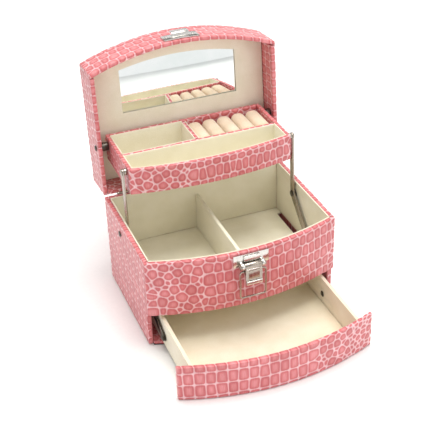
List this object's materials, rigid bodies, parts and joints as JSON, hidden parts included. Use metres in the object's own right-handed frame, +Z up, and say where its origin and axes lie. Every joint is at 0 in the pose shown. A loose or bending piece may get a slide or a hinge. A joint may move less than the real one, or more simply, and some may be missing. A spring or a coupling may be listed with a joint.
{
  "type": "jewelry box",
  "caption": "Jewelry box with a bowed front; raising the lid lifts out a tray and slides a drawer forward by a bent-arm linkage.",
  "frame": {"origin": "on the table, under the centre of the case's side walls", "axes": "+X across the width, -Y out of the bowed front where the drawer opens, +Z up"},
  "size_m": [0.1772, 0.2523, 0.2257],
  "materials": {
    "pink_embossed_leather": "crocodile-embossed coated leather, satin",
    "beige_lining": "flocked, matte",
    "cream_velvet": "velvet",
    "black_base_cloth": "felt",
    "mirror_glass": "silvered",
    "backing_board": "plain",
    "nickel_plate": "polished nickel plate",
    "dark_steel": "darkened"
  },
  "bodies": {
    "case": {"base_sheet": "black_base_cloth", "bottom_board": "pink_embossed_leather", "left_wall": "pink_embossed_leather", "right_wall": "pink_embossed_leather", "back_wall": "pink_embossed_leather", "front_panel": "pink_embossed_leather", "main_floor": "beige_lining", "left_lining": "beige_lining", "right_lining": "beige_lining", "back_lining": "beige_lining", "front_lining": "beige_lining", "divider": "beige_lining", "left_arm_pivot": "dark_steel", "right_arm_pivot": "dark_steel", "case_hinge_leaf": "nickel_plate", "hinge_pin": "nickel_plate", "latch_plate": "nickel_plate", "latch_pin": "nickel_plate"},
    "lid": {"lid_left_wall": "pink_embossed_leather", "lid_right_wall": "pink_embossed_leather", "lid_back_wall": "pink_embossed_leather", "lid_front_wall": "pink_embossed_leather", "lid_top_board": "pink_embossed_leather", "lid_liner_panel": "beige_lining", "mirror": "mirror_glass", "mirror_backing": "backing_board", "keeper_plate": "nickel_plate", "lid_hinge_leaf": "nickel_plate", "left_tray_pivot": "dark_steel", "right_tray_pivot": "dark_steel"},
    "tray": {"tray_left_side": "pink_embossed_leather", "tray_right_side": "pink_embossed_leather", "tray_back": "pink_embossed_leather", "tray_front": "pink_embossed_leather", "tray_bottom": "beige_lining", "tray_long_divider": "pink_embossed_leather", "tray_short_divider": "pink_embossed_leather", "ring_roll_1": "cream_velvet", "ring_roll_2": "cream_velvet", "ring_roll_3": "cream_velvet", "ring_roll_4": "cream_velvet", "ring_roll_5": "cream_velvet"},
    "left_arm": {"left_arm": "nickel_plate", "left_arm_tray_rivet": "nickel_plate", "left_arm_link_rivet": "nickel_plate"},
    "right_arm": {"right_arm": "nickel_plate", "right_arm_tray_rivet": "nickel_plate", "right_arm_link_rivet": "nickel_plate"},
    "drawer": {"drawer_front": "pink_embossed_leather", "drawer_left_side": "beige_lining", "drawer_right_side": "beige_lining", "drawer_back": "beige_lining", "drawer_bottom": "beige_lining", "left_drawer_stud": "dark_steel", "right_drawer_stud": "dark_steel"},
    "left_link": {"left_drawer_link": "dark_steel"},
    "right_link": {"right_drawer_link": "dark_steel"},
    "latch_lever": {"latch_lever": "nickel_plate"},
    "latch_bail": {"latch_bail": "nickel_plate"}
  },
  "joints": [
    {"name": "lid_hinge", "type": "hinge", "parent": "case", "child": "lid", "pos_m": [0, 0.0586, 0.08815], "axis": [-1, 0, 0], "range_deg": [-94.7, 0]},
    {"name": "tray_pivot", "type": "hinge", "parent": "lid", "child": "tray", "pos_m": [0, 0.07098, 0.13198], "axis": [1, 0, 0], "range_deg": [-94.7, 0]},
    {"name": "left_arm_pivot", "type": "hinge", "parent": "case", "child": "left_arm", "pos_m": [-0.0802, 0.01201, 0.0755], "axis": [-1, 0, 0], "range_deg": [-69.12, 0]},
    {"name": "right_arm_pivot", "type": "hinge", "parent": "case", "child": "right_arm", "pos_m": [0.0802, 0.01201, 0.0755], "axis": [-1, 0, 0], "range_deg": [-69.12, 0]},
    {"name": "drawer_slide", "type": "slide", "parent": "case", "child": "drawer", "axis": [0, -1, 0], "range_m": [-0.07121, 0]},
    {"name": "left_link_pivot", "type": "hinge", "parent": "drawer", "child": "left_link", "pos_m": [-0.0782, -0.066, 0.015], "axis": [1, 0, 0], "range_deg": [-27.21, 0]},
    {"name": "right_link_pivot", "type": "hinge", "parent": "drawer", "child": "right_link", "pos_m": [0.0782, -0.066, 0.015], "axis": [1, 0, 0], "range_deg": [-27.21, 0]},
    {"name": "latch_lever_pivot", "type": "hinge", "parent": "case", "child": "latch_lever", "pos_m": [0, -0.0793, 0.0765], "axis": [1, 0, 0], "range_deg": [-110, 0]},
    {"name": "latch_bail_pivot", "type": "hinge", "parent": "latch_lever", "child": "latch_bail", "pos_m": [0, -0.0796, 0.0715], "axis": [-1, 0, 0], "range_deg": [0, 74]}
  ],
  "couplings": [
    {"joint": "tray_pivot", "follows": "lid_hinge", "ratio": 1},
    {"joint": "left_arm_pivot", "follows": "lid_hinge", "ratio": 0.7298},
    {"joint": "right_arm_pivot", "follows": "lid_hinge", "ratio": 0.7298},
    {"joint": "drawer_slide", "follows": "lid_hinge", "m_per_rad": 0.043078},
    {"joint": "left_link_pivot", "follows": "lid_hinge", "ratio": 0.28724},
    {"joint": "right_link_pivot", "follows": "lid_hinge", "ratio": 0.28724}
  ]
}
